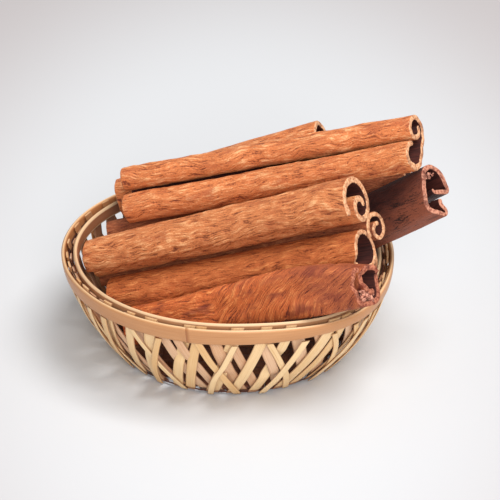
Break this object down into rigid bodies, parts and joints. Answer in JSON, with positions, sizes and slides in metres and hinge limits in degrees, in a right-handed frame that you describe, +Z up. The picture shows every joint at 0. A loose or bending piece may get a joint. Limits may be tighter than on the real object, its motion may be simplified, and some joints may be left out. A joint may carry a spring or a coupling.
{
  "type": "stack of cinnamon sticks in a woven basket",
  "caption": "Rolled cinnamon bark sticks piled in one direction in a small round basket of crossed bamboo splits, their ends rising over one side of the rim.",
  "frame": {"origin": "on the surface that the basket stands on, at the centre of its rim seen from above", "axes": "+Z up; +X towards the raised ends of the sticks; the picture looks along +Y and slightly down"},
  "size_m": [0.1035, 0.0897, 0.0672],
  "materials": {
    "bamboo_split": "matt raw bamboo, pale straw",
    "bamboo_rim": "smooth raw bamboo, golden, slight sheen",
    "bamboo_lining": "smooth raw bamboo, paler",
    "bark_golden": "dry cassia bark, golden brown, lengthwise wrinkles, matt",
    "bark_brown": "dry cassia bark, warm brown, lengthwise wrinkles, matt",
    "bark_red": "dry cassia bark, red-brown, slanting fibres, matt",
    "bark_dark": "dry cassia bark, dark purple-brown, smooth, low sheen"
  },
  "bodies": {
    "root": {"weave_outer": "bamboo_split", "weave_inner": "bamboo_split", "rim_outer": "bamboo_rim", "rim_inner": "bamboo_lining", "stick_top_double": "bark_brown", "stick_scroll": "bark_golden", "stick_open_tube": "bark_golden", "stick_fibrous": "bark_red", "stick_dark_double": "bark_dark", "stick_back_top": "bark_brown", "stick_small_scroll": "bark_brown", "stick_low_tube": "bark_brown", "stick_middle_tube": "bark_brown"}
  },
  "joints": []
}
